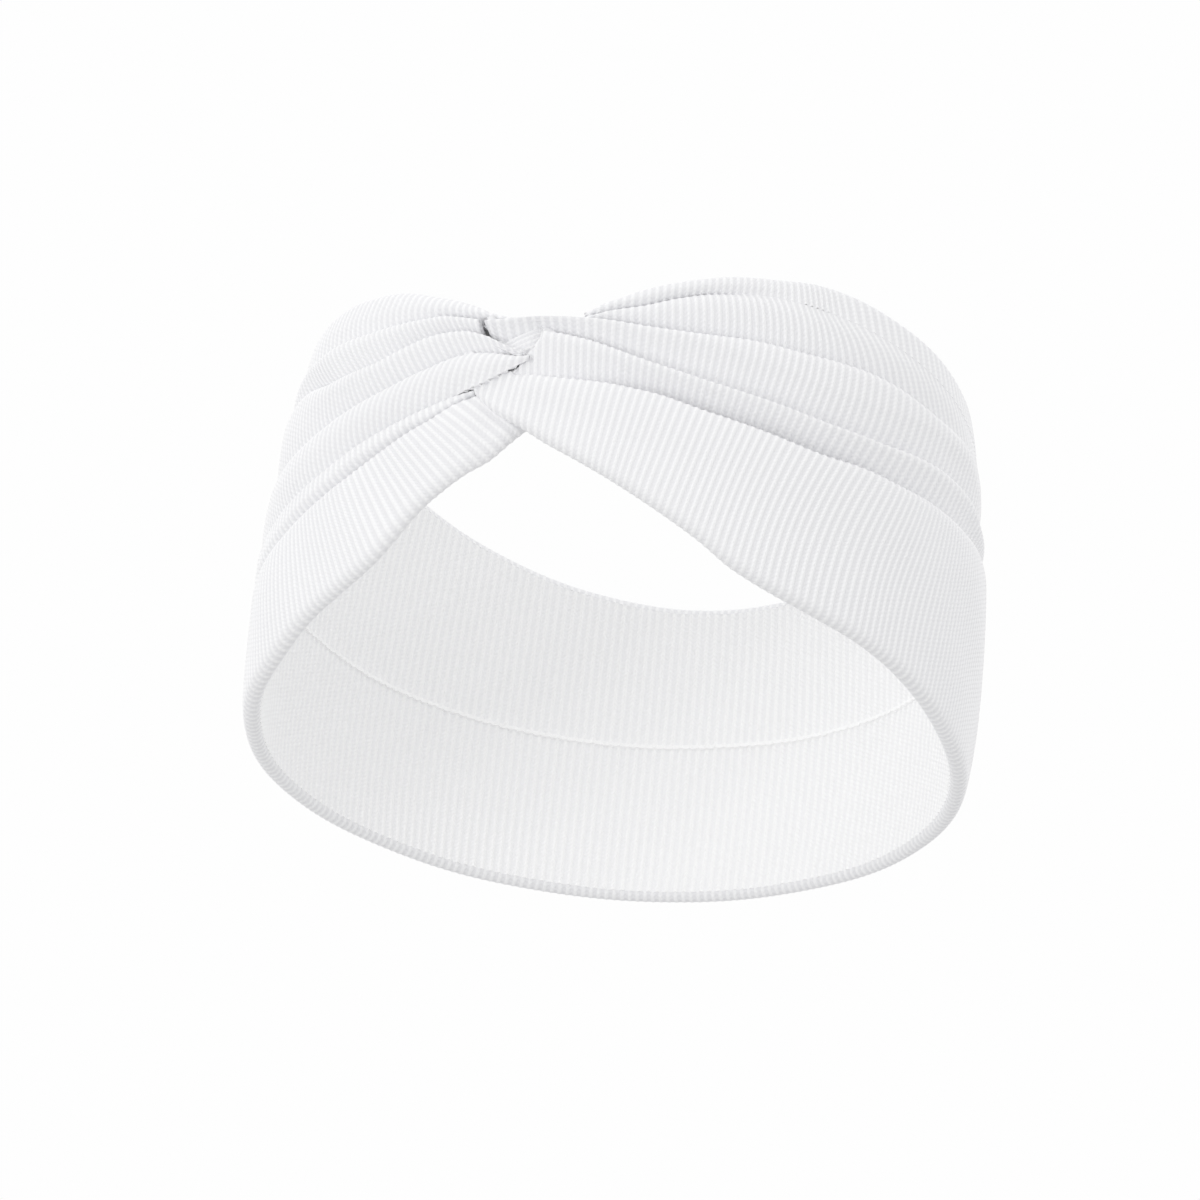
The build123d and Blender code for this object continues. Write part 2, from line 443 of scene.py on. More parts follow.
@dataclass(frozen=True)
class FoldLine:
    """A line across a strip past which the cloth turns over and runs back behind.

    Attributes:
        route: (height, angle) points of the line; the cloth that stays lies to its right.
        radius: radius of the turn.
        tuck: about how much cloth shows behind the turn.
        sink: how fast the turned cloth runs inwards.
    """

    route: Course
    radius: float = 1.5
    tuck: float = 6.0
    sink: float = 0.3

    def turn(
        self, angle: np.ndarray, z: np.ndarray, inset: np.ndarray
    ) -> tuple[np.ndarray, np.ndarray, np.ndarray]:
        """Turn over the cloth past the line.

        Args:
            angle: angles of the points.
            z: heights of the points.
            inset: insets of the points.

        Returns:
            The three arrays with the turned cloth rolled round and laid behind.
        """
        slope = (through(self.route, z + 0.5) - through(self.route, z - 0.5)) * LOOP.arc
        length = np.sqrt(1 + slope**2)
        away = (angle - through(self.route, z)) * LOOP.arc / length
        half_turn = math.pi * self.radius
        past = np.maximum(-away, 0.0)
        reach = half_turn + self.tuck
        past = np.where(past > 0, reach * (1 - np.exp(-past / reach)), 0.0)
        swing = np.minimum(past / self.radius, math.pi)
        laid = np.where(past < half_turn, -self.radius * np.sin(swing), past - half_turn)
        shift = np.where(past > 0, laid - away, 0.0)
        return (
            angle + shift / length / LOOP.arc,
            z - shift * slope / length,
            inset + self.radius * (1 - np.cos(swing)) + self.sink * np.maximum(past - half_turn, 0),
        )


@dataclass(frozen=True)
class Pleat:
    """One strip of an arm's outer cloth, between two creases or a crease and a rim.

    Attributes:
        name: name of the piece.
        nodes: CAD nodes it stands for.
        span: angles between which it runs.
        lower: its lower edge.
        upper: its upper edge.
        spacing: how closely its ribs stand.
        rows: number of grid rows across it.
        edges: how the lower and the upper edge end.
        shoulders: share of the height that rounds off towards the lower and upper crease.
        hang: how straight its face runs down into the lower crease, from 0, rounded, to 1.
        bulge: how far its middle stands out.
        crest: how far its upper shoulder stands out.
        lift: (angle, outset) points; how far it lies in front of the band's outer face.
        skew: (angle, degrees per millimetre) points; how far its ribs lean to the right.
        upright_foot: (angle, share) points; how upright the leaning ribs end at the lower edge.
        leans_from_top: the ribs lean about the upper edge, not the lower one.
        below: the strip whose ribs this one carries on, if it does.
        folds: lines where its end turns over.
    """

    name: str
    nodes: tuple[str, ...]
    span: tuple[float, float]
    lower: Crease
    upper: Crease
    spacing: RibSpacing
    rows: int
    edges: tuple[Edge, Edge] = (Edge.CREASE, Edge.CREASE)
    shoulders: tuple[float, float] = (0.55, 0.25)
    hang: float = 0.3
    bulge: float = 0.5
    crest: float = 0.0
    lift: Course = NOUGHT
    skew: Course = NOUGHT
    upright_foot: Course = NOUGHT
    leans_from_top: bool = False
    below: "Pleat | None" = None
    folds: tuple[FoldLine, ...] = ()

    def edge_lines(self, base: np.ndarray, skew: np.ndarray) -> tuple[np.ndarray, ...]:
        """Find where each leaning column meets the two edges.

        Args:
            base: column angles.
            skew: lean of each column.

        Returns:
            Heights at the lower and upper edge, and the angles there.
        """
        low_angle = high_angle = base
        if self.below:
            lean = through(self.below.skew, base)
            low_angle = high_angle = base = self.below.edge_lines(base, lean)[3]
        for _ in range(SETTLING_ROUNDS):
            low, high = self.lower.height(low_angle), self.upper.height(high_angle)
            if self.leans_from_top:
                low_angle = base + skew * (low - high)
            else:
                high_angle = base + skew * (high - low)
        return low, np.maximum(high, low + LEAST_HEIGHT), low_angle, high_angle

    def rolled_side(
        self, line: np.ndarray, up: int, tall: np.ndarray
    ) -> tuple[np.ndarray, np.ndarray]:
        """Roll the cloth over the band's edge.

        Args:
            line: height of the edge at each column.
            up: 1 at a lower edge, -1 at an upper one.
            tall: height of the strip at each column.

        Returns:
            Heights and insets, from the inside of the band to its face.
        """
        roll = np.minimum(KNIT.rim_roll, ROLL_SHARE * tall)
        turn = np.pi * PROFILE
        z = line + up * (roll - roll * np.sin(turn))
        return z, np.broadcast_to(LOOP.wall / 2 * (1 + np.cos(turn)), z.shape)

    def tucked_side(
        self, line: np.ndarray, up: int, shoulder: np.ndarray, depth: np.ndarray
    ) -> tuple[np.ndarray, np.ndarray]:
        """Round the cloth off into a crease.

        Args:
            line: height of the crease at each column.
            up: 1 at a lower edge, -1 at an upper one.
            shoulder: height over which the cloth rounds off.
            depth: depth of the crease.

        Returns:
            Heights and insets, from the bottom of the crease to the face.
        """
        turn = np.pi / 2 * PROFILE
        sharp = smoothstep(*CREASE_SHARPENS, depth)
        soft_inset = 0.5 + 0.5 * np.cos(np.pi * PROFILE)
        z = line + up * shoulder * (sharp * (1 - np.cos(turn)) + (1 - sharp) * PROFILE)
        inset = depth * (sharp * (1 - np.sin(turn)) + (1 - sharp) * soft_inset)
        if up > 0:
            z = z + self.hang * (line + shoulder * PROFILE - z)
            inset = inset + self.hang * (depth * (1 - PROFILE) - inset)
        return z, inset

    def profile(
        self, low: np.ndarray, high: np.ndarray, low_angle: np.ndarray, high_angle: np.ndarray
    ) -> tuple[np.ndarray, np.ndarray]:
        """Run the cloth from the lower edge up to the upper one, column by column.

        Args:
            low: height of the lower edge.
            high: height of the upper edge.
            low_angle: angle of each column at the lower edge.
            high_angle: angle of each column at the upper edge.

        Returns:
            Heights and insets with rows evenly spaced along the cloth.
        """
        tall = (high - low)[:, None]
        deepest = np.full_like(tall, LEAST_DEPTH)
        sides = []
        for edge, share, line, up, crease, at in (
            (self.edges[0], self.shoulders[0], low[:, None], 1, self.lower, low_angle),
            (self.edges[1], self.shoulders[1], high[:, None], -1, self.upper, high_angle),
        ):
            if edge is Edge.RIM:
                sides.append(self.rolled_side(line, up, tall))
            else:
                depth = crease.depth(at)[:, None]
                deepest = np.maximum(deepest, depth)
                shoulder = np.minimum(share * tall, WIDEST_SHOULDER)
                sides.append(self.tucked_side(line, up, shoulder, depth))
        (z_low, inset_low), (z_high, inset_high) = sides
        foot, top = z_low[:, -1:], z_high[:, -1:]
        z_face = foot + (top - foot) * PROFILE[1:-1]
        z = np.concatenate([z_low, z_face, z_high[:, ::-1]], axis=1)
        inset = np.concatenate([inset_low, np.zeros_like(z_face), inset_high[:, ::-1]], axis=1)
        up_share = np.clip((z - low[:, None]) / tall, 0.0, 1.0)
        near_face = 1 - np.clip(inset / np.maximum(deepest, LOOP.wall), 0, 1)
        strength = smoothstep(*FOLD_SWELLS, deepest) * near_face
        inset -= strength * self.bulge * np.sin(np.pi * up_share)
        inset -= strength * self.crest * smoothstep(*CREST_RISES, up_share)
        return space_rows(z, inset, self.rows)

    def draped(self) -> Draped:
        """Lay the strip from crease to crease and turn its ends over.

        Returns:
            The draped sheet.
        """
        ribs, base = self.spacing.columns(*self.span)
        skew = through(self.skew, base)
        low, high, low_angle, high_angle = self.edge_lines(base, skew)
        z, inset = self.profile(low, high, low_angle, high_angle)
        tall = (high - low)[:, None]
        share = np.clip((z - low[:, None]) / tall, 0.0, 1.0)
        bend = through(self.upright_foot, base)[:, None]
        lean = skew[:, None] * tall
        if self.leans_from_top:
            angle = high_angle[:, None] - lean * ((1 - bend) * (1 - share) + bend * (1 - share**2))
        else:
            angle = low_angle[:, None] + lean * share
        inset = inset - through(self.lift, angle) + ripple(angle, z)
        # a narrow strip is squeezed, and the ribs fade at a rim and under the fold above
        relief = np.clip(tall / KNIT.full_relief_height, KNIT.rim_relief, 1.0)
        if self.edges[0] is Edge.RIM:
            relief = relief * KNIT.fade(z - low[:, None])
        relief = relief * KNIT.fade(high[:, None] - z)
        for fold in self.folds:
            angle, z, inset = fold.turn(angle, z, inset)
        return Draped(ribs, angle, z, inset, relief)


def space_rows(z: np.ndarray, inset: np.ndarray, rows: int) -> tuple[np.ndarray, np.ndarray]:
    """Space the rows of a profile evenly along the cloth.

    Args:
        z: heights along each column's fine profile.
        inset: insets along it.
        rows: number of rows wanted.

    Returns:
        Heights and insets for each column and row.
    """
    # a step is never quite nought, so that the run always rises
    steps = np.hypot(np.diff(z, axis=1), np.diff(inset, axis=1)) + LEAST_STEP
    run = np.concatenate([np.zeros((len(z), 1)), np.cumsum(steps, axis=1)], axis=1)
    run /= run[:, -1:]
    even = np.linspace(0.0, 1.0, rows)
    z_rows = np.stack([np.interp(even, r, v) for r, v in zip(run, z)])
    inset_rows = np.stack([np.interp(even, r, v) for r, v in zip(run, inset)])
    return z_rows, inset_rows


def ripple(angle: np.ndarray, z: np.ndarray) -> np.ndarray:
    """The slight unevenness of soft cloth: long waves, under half a millimetre high."""
    a = np.radians(angle)
    return sum(size * np.sin(turns * a + climb * z + phase) for size, turns, climb, phase in WAVES)


# ---- the two pleated arms -----------------------------------------------------------------
class Arm:
    """One arm of the band: strips of outer cloth, side by side."""

    def pleats(self) -> tuple[Pleat, ...]:
        """The strips of outer cloth, from the lower rim up."""
        raise NotImplementedError

    def build(self, finish: bpy.types.Material) -> None:
        """Sew every pleat of the arm.

        Args:
            finish: material of the outer cloth.
        """
        for pleat in self.pleats():
            sew(pleat.name, pleat.draped(), pleat.nodes, finish)


# the deep valley over the broad panel: its course, and its depths, away from the knot
VALLEY: Course = (
    (12, 55.5), (21, 54), (29.5, 51.5), (39, 50), (48.5, 49), (57.5, 50), (64.5, 50.5),
    (71, 51.5), (83, 52.5), (93, 54), (130, 56),
)
VALLEY_DEPTHS: Course = ((20, 7), (38, 8), (55, 6), (75, 4), (95, 2.5), (128, 0))


@dataclass(frozen=True)
class RightArm(Arm):
    """The pleats to the right of the knot: one broad lower panel and four strips above it."""

    start: float = -12.0
    end: float = 130.0
    lower_edge: Crease = Crease(
        ((-12, 54), (0.5, 44.5), (4.5, 40.5), (11, 35), (17.5, 29.5), (23.5, 24.5), (29.5, 19.5),
         (36, 14), (43, 11), (51, 9), (56.5, 8), (76.5, 4), (95, 0.5), (105, 0), (130, 0))
    )
    deep_crease: Crease = Crease(
        ((-12, 60), (-1, 57.5), (3.5, 56.5), *VALLEY),
        ((-12, 2), (0, 2.5), (8, 4.5), *VALLEY_DEPTHS),
    )
    panel_top: Crease = Crease(
        ((-12, 67), (-4, 61.5), (-2, 59.2), (-1.2, 58.3), (0, 57.5), (2, 56.9), (4.5, 56.4),
         *VALLEY),
        ((-12, 0.4), (-1, 0.8), (3, 3), (8, 5), *VALLEY_DEPTHS),
    )
    middle_crease: Crease = Crease(
        ((-12, 72), (-7.5, 69.5), (-5.5, 68), (-4, 67), (-1.5, 68), (1.5, 69), (9, 67),
         (20.5, 61.5), (29, 59), (38.5, 57.5), (48.5, 56.5), (57.5, 57.5), (68.5, 60.5),
         (78, 62.5), (87.5, 63.5), (95, 61.5), (130, 64)),
        ((-12, 4), (8, 4), (20, 5), (45, 5.2), (75, 3.2), (95, 1.6), (122, 0)),
    )
    upper_crease: Crease = Crease(
        ((-12, 72.3), (8.5, 72), (20, 71), (28.5, 71.5), (35.5, 72.5), (43, 73), (51.5, 74.5),
         (58, 75.5), (65.5, 76), (72.5, 76), (95, 77), (130, 78)),
        ((-12, 3), (8, 4), (20, 5), (35, 4), (55, 3), (75, 1.2), (90, 0)),
    )
    top_crease: Crease = Crease(
        ((7, 72.4), (8.5, 72.8), (17.5, 76.5), (23, 80), (29, 83), (40, 86), (60, 86.5),
         (95, 85), (130, 79)),
        ((8, 3), (20, 3), (30, 2), (44, 0)),
    )
    upper_edge: Crease = Crease(
        ((-12, 73), (1.5, 73), (8, 73.4), (11, 76), (14, 78), (17, 80.5), (20, 82.5), (26.5, 86),
         (32.5, 89), (40, 91.5), (48, 94), (57.5, 95), (69, 94.7), (83.5, 95), (95, 94.9),
         (110, 93.1), (130, 88.4))
    )

    def pleats(self) -> tuple[Pleat, ...]:
        """Describe the strips of outer cloth.

        Returns:
            The strips, from the lower rim up.
        """
        plain = ((97, PLAIN_RIBS), (self.end, PLAIN_RIBS))
        panel_ribs = RibSpacing(
            ((-12, 282), (30, 284), (48, 248), (58, 238), (66, 272), (74, 350), (82, 415),
             (90, 340), *plain), self.end
        )
        lower_ribs = RibSpacing(
            ((-5, 310), (18, 305), (32, 290), (40, 284), (53, 218), (68, 192), *plain), self.end
        )
        fold_ribs = RibSpacing(
            ((-12, 255), (8, 258), (20, 272), (32, 290), (41, 286), (54, 216), (68, 186),
             *plain), self.end
        )
        upper = Pleat(
            "right_pleat_upper_knit", ("right_pleat_top",),
            (8.7, self.end), self.upper_crease, self.top_crease, shoulders=(0.7, 0.2), bulge=0.3,
            lift=((8, -1.6), (13, 0.0)),
            skew=((8, 0.0), (25, -0.1), (45, -0.16), (60, -0.5), (76, -0.5), (97, 0.0)),
            spacing=fold_ribs, rows=26,
        )
        return (
            Pleat(
                "right_lower_panel_knit", ("right_lower_panel", "knot_fold_right_lower"),
                (self.start, self.end), self.lower_edge, self.panel_top,
                edges=(Edge.RIM, Edge.CREASE), shoulders=(0.0, 0.09), bulge=0.6, crest=1.4,
                lift=((-12, -0.9), (3, -0.8), (15, 0.0)),
                skew=((-12, 0.08), (12, 0.09), (25, 0.16), (40, 0.18), (55, 0.19), (70, 0.17),
                      (86, 0.02), (97, 0.0)),
                upright_foot=((30, 0.0), (52, 0.9)), leans_from_top=True,
                folds=(FoldLine(((44.5, 0.5), (49, -3), (54.5, -6.5), (60, -9.5))),),
                spacing=panel_ribs, rows=60,
            ),
            Pleat(
                "right_pleat_lower_knit", ("right_pleat_lower", "knot_fold_right_upper"),
                (-5.0, self.end), self.deep_crease, self.middle_crease,
                shoulders=(0.76, 0.2), hang=0.55, bulge=0.3, crest=0.9,
                lift=((-12, 1.0), (1, 0.9), (12, 0.0)),
                folds=(FoldLine(((56, -1.8), (58, -0.6), (60.5, 1.1), (64, 2.9), (66, 3.6),
                                 (68.5, 3.3), (70, 2.4)), 1.2, 2.5, 1.0),),
                spacing=lower_ribs, rows=28,
            ),
            Pleat(
                "right_pleat_middle_knit", ("right_pleat_middle", "knot_fold_right_upper"),
                (-10.5, self.end), self.middle_crease, self.upper_crease,
                shoulders=(0.78, 0.18), hang=0.55, bulge=0.3, crest=1.1,
                lift=((-12, 0.6), (-2, 0.6), (8, 0.0)),
                skew=((-12, -0.2), (-2, 0.0), (30, 0.02), (45, 0.08), (60, 0.03), (97, 0.0)),
                folds=(FoldLine(((66, -5.9), (74, -6.7)), 0.9, 2.5, 1.0),),
                spacing=fold_ribs, rows=32,
            ),
            upper,
            Pleat(
                "right_pleat_top_knit", ("right_pleat_top",),
                (8.7, self.end), self.top_crease, self.upper_edge,
                edges=(Edge.CREASE, Edge.RIM), shoulders=(0.4, 0.0), bulge=0.2,
                lift=((8, -1.6), (13, 0.0)),
                skew=((8, 0.0), (45, -0.05), (60, -0.1), (75, -0.1), (97, 0.0)), below=upper,
                spacing=fold_ribs, rows=20,
            ),
        )


@dataclass(frozen=True)
class LeftArm(Arm):
    """The pleats to the left of the knot: a lower panel, a tuck and four folds above it."""

    start: float = 6.0
    end: float = -110.0
    lower_edge: Crease = Crease(
        ((-110, 0), (-70, 0), (-58, 1), (-48, 3), (-38, 7), (-23.5, 14.5), (-14, 27), (-11, 30),
         (-8, 33.5), (-5, 37), (0.5, 44.8), (6, 50))
    )
    tuck_bottom: Crease = Crease(
        ((-110, 30), (-70, 31), (-55, 33), (-39, 36.8), (-28, 41.6), (-23.5, 43.8), (-19, 46.4),
         (-14.5, 48.7), (-10.5, 51.7), (-8, 53.4), (-6.5, 54.3), (6, 60)),
        ((-80, 0), (-60, 2), (-39, 4), (-20, 5), (-12, 3), (-6.5, 1.5), (6, 1.5)),
    )
    tuck_top: Crease = Crease(
        ((-110, 40), (-75, 41), (-55, 42), (-41, 43.5), (-27, 48), (-19.5, 50.5), (-13, 53),
         (-9, 54.3), (-6.5, 54.8), (-3.5, 56.7), (0.5, 59.6), (2, 60.6), (6, 62)),
        ((-75, 0), (-50, 3), (-27, 4), (-12, 2.5), (-6, 0.8), (6, 0.8)),
    )
    lower_crease: Crease = Crease(
        ((-110, 56), (-80, 56), (-50, 57), (-32, 59), (-24, 60.5), (-17, 63), (-10, 64.5),
         (-4.5, 63.3), (0.5, 61.3), (2, 61.0), (6, 61)),
        ((-80, 0), (-50, 3), (-25, 4.5), (-10, 3.5), (0, 1)),
    )
    middle_crease: Crease = Crease(
        ((-110, 74), (-80, 74), (-53.5, 75), (-38, 69.5), (-28.5, 68.5), (-21, 70.5), (-16, 71.5),
         (-11, 70.8), (-6.5, 68.2), (-2.5, 64.3), (0.5, 61.9), (2, 61.3), (6, 61)),
        ((-80, 0), (-50, 3.5), (-25, 5), (-11, 4), (-2, 2)),
    )
    upper_crease: Crease = Crease(
        ((-110, 82), (-60, 83), (-42.5, 81.5), (-31.5, 79), (-22.5, 77.3), (-15.5, 76.3),
         (-9.5, 73.9), (-4, 72.2), (6, 71.5)),
        ((-60, 0), (-42, 1.5), (-22, 3), (-15, 4), (-9, 4), (-4, 3)),
    )
    upper_edge: Crease = Crease(
        ((-110, 93.1), (-75, 95), (-60, 94.8), (-49.5, 94), (-42, 93), (-35.5, 91), (-29.5, 89),
         (-24, 86.5), (-19, 83.5), (-14.5, 81), (-10, 78), (-5.5, 74.5), (0, 73), (6, 73))
    )

    def pleats(self) -> tuple[Pleat, ...]:
        """Describe the strips of outer cloth.

        Returns:
            The strips, from the lower rim up.
        """
        plain = ((self.end, PLAIN_RIBS), (-80, PLAIN_RIBS))
        panel_ribs, front_ribs, middle_ribs, upper_ribs, top_ribs = (
            RibSpacing((*plain, *density), self.end)
            for density in (
                ((-60, 220), (-45, 228), (-28, 310), (-12, 330), (10, 300)),
                ((-55, 285), (-38, 285), (-25, 300), (-12, 262), (10, 262)),
                ((-60, 240), (-46, 275), (-38, 278), (-25, 310), (10, 320)),
                ((-60, 225), (-46, 225), (-30, 310), (-17, 360), (10, 360)),
                ((-60, 220), (-31, 232), (-20, 250), (10, 255)),
            )
        )
        return (
            Pleat(
                "left_lower_panel_knit", ("left_lower_panel",), (self.end, self.start),
                self.lower_edge, self.tuck_bottom, edges=(Edge.RIM, Edge.CREASE),
                shoulders=(0.0, 0.12), bulge=0.4, crest=0.3,
                lift=((-30, 0.0), (-12, -0.3), (-8, -1.3), (-4, -3.4), (6, -5.0)),
                skew=((-80, 0.0), (-55, -0.08), (-38, -0.2), (-26, -0.33), (-18, -0.43),
                      (-13, -0.55), (-7, -0.68), (-3, -0.84), (6, -0.9)),
                spacing=panel_ribs, rows=44,
            ),
            Pleat(
                "left_tuck_knit", ("left_tuck",), (self.end, -8.0), self.tuck_bottom,
                self.tuck_top, shoulders=(0.3, 0.2), bulge=0.0,
                lift=((-30, 0.0), (-20, -0.5), (-12, -0.9), (-6, -1.6)),
                skew=((-80, 0.0), (-50, -0.1), (-5, -0.2)), spacing=middle_ribs, rows=18,
            ),
            Pleat(
                "left_pleat_lower_knit", ("left_pleat_lower", "knot_fold_left_front"),
                (self.end, 1.6), self.tuck_top, self.lower_crease,
                crest=0.4, lift=((-16, 0.0), (-6, 0.9), (1, 1.3)),
                skew=((-80, 0.0), (-45, 0.0), (-30, 0.12), (-22, 0.2), (1, 0.2)),
                spacing=front_ribs, rows=24,
            ),
            Pleat(
                "left_pleat_middle_knit", ("left_pleat_middle", "knot_fold_left_front"),
                (self.end, 0.6), self.lower_crease, self.middle_crease,
                shoulders=(0.7, 0.2), bulge=0.4, crest=0.8, lift=((-14, 0.0), (-5, 0.5), (1, 0.8)),
                skew=((-80, 0.0), (-50, 0.08), (-40, 0.1), (-25, -0.22), (6, -0.3)),
                spacing=middle_ribs, rows=24,
            ),
            Pleat(
                "left_pleat_upper_knit", ("left_pleat_upper",),
                (self.end, -8.0), self.middle_crease, self.upper_crease,
                shoulders=(0.7, 0.2), bulge=0.4, crest=0.6,
                skew=((-85, 0.0), (-55, -0.2), (-40, -0.42), (-25, -0.24), (-14, -0.25),
                      (-8, -0.02)),
                spacing=upper_ribs, rows=22,
            ),
            Pleat(
                "left_pleat_top_knit", ("left_pleat_top",),
                (self.end, 1.0), self.upper_crease, self.upper_edge,
                edges=(Edge.CREASE, Edge.RIM), shoulders=(0.5, 0.0), bulge=0.2,
                lift=((-6, 0.0), (1, -1.8)),
                skew=((-90, 0.0), (-60, 0.0), (-25, 0.12), (-15, 0.2), (-8, -0.2)),
                spacing=top_ribs, rows=22,
            ),
        )


# ---- the plain back and the lining -----------------------------------------------------------
@dataclass(frozen=True)
class Back:
    """The outer face round the back, from one arm to the other."""

    start: float = 130.0
    end: float = 250.0
    rows: int = 78
    fade_end: float = 4.5

    def build(self, finish: bpy.types.Material) -> None:
        """Sew the outer face.

        Args:
            finish: material of the outer cloth.
        """
        strip = Pleat(
            "outer_face_knit", ("outer_face",), (self.start, self.end), LEVEL, LEVEL,
            edges=(Edge.RIM, Edge.RIM), bulge=0.0, rows=self.rows,
            spacing=even_ribs(PLAIN_RIBS, self.start),
        )
        ribs, base = strip.spacing.columns(*strip.span)
        low, high = np.zeros_like(base), LOOP.rim(base)
        z, inset = strip.profile(low, high, base, base)
        angle = np.broadcast_to(base[:, None], z.shape)
        off_rim = np.minimum(z - low[:, None], high[:, None] - z)
        relief = KNIT.fade(off_rim, self.fade_end)
        draped = Draped(ribs, angle, z, inset + ripple(angle, z), relief)
        sew(strip.name, draped, strip.nodes, finish)


@dataclass(frozen=True)
class Lining:
    """The inside of the band: two halves that meet at the lengthwise seam.

    Behind the knot the ends of the band are sewn together, and there the lining turns
    inwards as the two leaves of the closing seam.

    Attributes:
        seam_height: height of the lengthwise seam on the plain back.
        lip: how far the upper half's edge stands inwards at the seam.
        dent: how far the lower half's edge lies back there.
        seam_shoulder: width of the rise on each side of the seam.
        row_pitch: height of one grid row.
        fewest_rows: least number of grid rows.
        ribs_round: ribs in a full turn; they stand wider than on the outer face.
        gather: (angle, depth) points; how far the pleats in front push the lining inwards.
        gather_fullness: how square the pushed-in lining is across; 1 is a plain wave.
        sunk_rim: (angle, depth) points; how far the upper rim lies back by the knot.
        closing_angle: angle from the knot's middle at which the lining turns inwards.
        leaf_depth: how far a leaf of the closing seam stands inwards.
        leaf_rise: how much of the leaf's depth its lower edge rises by.
        turn_softness: degrees over which the lining turns.
        plain_from: angle from the knot's middle beyond which there are no pleats.
        seam_follows: angles between which the seam leaves its share of the band's height.
        roll_overlap: how far the lining runs under the rolled edge of the outer cloth.
        least_roll: least height of that edge.
    """

    seam_height: float = 41.0
    lip: float = 0.4
    dent: float = 0.1
    seam_shoulder: float = 1.7
    row_pitch: float = 1.7
    fewest_rows: int = 12
    ribs_round: float = 228.0
    gather: Course = (
        (-180, 0), (-85, 0), (-55, 2.0), (-25, 4.4), (-8, 5.4), (8, 5.9), (35, 5.9), (75, 5.0),
        (95, 2.4), (125, 0), (180, 0),
    )
    gather_fullness: float = 0.6
    sunk_rim: Course = ((-180, 0), (-6, 0), (0, 1.5), (8, 1.6), (13, 0), (180, 0))
    closing_angle: float = 0.75
    leaf_depth: float = 7.0
    leaf_rise: float = 0.75
    turn_softness: float = 0.25
    plain_from: float = 110.0
    seam_follows: tuple[float, float] = (60.0, 95.0)
    roll_overlap: float = 0.2
    least_roll: float = 0.3

    def line(
        self, right: Crease, left: Crease, plain: float | np.ndarray, angle: np.ndarray
    ) -> np.ndarray:
        """Height of a line that runs right round the band.

        Args:
            right: the line on the right arm.
            left: the line on the left arm.
            plain: its height round the plain back, at each angle or everywhere.
            angle: angles between -180 and 180 degrees.

        Returns:
            Its height at each angle.
        """
        pleated = np.where(angle > 0, right.height(angle), left.height(angle))
        return np.where(np.abs(angle) > self.plain_from, plain, pleated)

    def upper_roll(self, angle: np.ndarray) -> np.ndarray:
        """How far below the upper rim the outer cloth's rolled edge ends on the inside.

        Args:
            angle: angles, in degrees.

        Returns:
            The distance at each angle.
        """
        turned = signed(angle)
        right, left = RightArm(), LeftArm()
        strip = self.line(right.upper_edge, left.upper_edge, LOOP.height, turned) - self.line(
            right.top_crease, left.upper_crease, 0.0, turned
        )
        return np.clip(ROLL_SHARE * strip - self.roll_overlap, self.least_roll, KNIT.rim_roll)

    def limits(self, angle: np.ndarray) -> tuple[np.ndarray, np.ndarray, np.ndarray]:
        """Heights of the lower rim, the seam and the upper rim at each angle.

        Args:
            angle: angles, in degrees.

        Returns:
            The three heights.
        """
        turned = signed(angle)
        right, left = RightArm(), LeftArm()
        low = self.line(right.lower_edge, left.lower_edge, 0.0, turned)
        high = self.line(right.upper_edge, left.upper_edge, LOOP.rim(turned), turned)
        share = self.seam_height / LOOP.height
        gathered = 1 - smoothstep(*self.seam_follows, np.abs(turned))
        seam = self.seam_height + gathered * (low + share * (high - low) - self.seam_height)
        return low, seam, high

    def soften(self, past: np.ndarray) -> np.ndarray:
        """Nought before a corner and the distance past it, with the corner rounded."""
        return self.turn_softness * np.logaddexp(0.0, past / self.turn_softness)

    def pucker(self, angle: np.ndarray) -> np.ndarray:
        """The seam's slight waves, about a tenth of a millimetre high and a centimetre long."""
        a = np.radians(angle)
        return 0.1 * np.sin(a * 61) + 0.08 * np.sin(a * 97 + 1)

    def half(self, start: float, end: float, upper: bool, side: int) -> Draped:
        """Drape one half of the lining between two angles.

        Args:
            start: higher angle; the columns run backwards so that the ribs rise inwards.
            end: lower angle.
            upper: whether it is the half above the seam.
            side: 1 where its lower end is a leaf of the closing seam, -1 where its upper end
                is, and 0 where neither is.

        Returns:
            The draped sheet.
        """
        ribs, base = even_ribs(self.ribs_round, 0.0).columns(start, end)
        leaf = np.zeros_like(base)
        if side:
            past = self.closing_angle - side * base
            leaf = self.soften(past) * LOOP.arc
            base = side * (self.closing_angle + self.soften(-past))
        low, seam, high = self.limits(base)
        roll = KNIT.rim_roll
        roll_top = self.upper_roll(base)
        bottom, top = (seam, high - roll_top) if upper else (low + roll, seam)
        rows = max(self.fewest_rows, int(float((top - bottom).max()) / self.row_pitch))
        share = np.linspace(0.0, 1.0, rows)[None, :]
        z = bottom[:, None] + (top - bottom)[:, None] * share
        angle = np.broadcast_to(base[:, None], z.shape)
        near_seam = np.clip(1 - np.abs(z - seam[:, None]) / self.seam_shoulder, 0.0, 1.0)
        gathered = through(self.gather, signed(base))[:, None]
        inside = (high - low - roll - roll_top)[:, None]
        whole = np.clip((z - low[:, None] - roll) / inside, 0.0, 1.0)
        sunk = through(self.sunk_rim, signed(base))[:, None]
        bulge = gathered * np.sin(np.pi * whole) ** self.gather_fullness
        inset = LOOP.wall + sunk + bulge + leaf[:, None]
        # the upper half's edge lies on the lower half's, and stands out as a lip
        lip = self.lip if upper else -self.dent
        inset = inset + (lip + self.pucker(base)[:, None]) * near_seam**1.5
        z = z + self.leaf_rise * leaf[:, None] * (1 - whole)
        return Draped(ribs, angle, z, inset + ripple(angle, z))

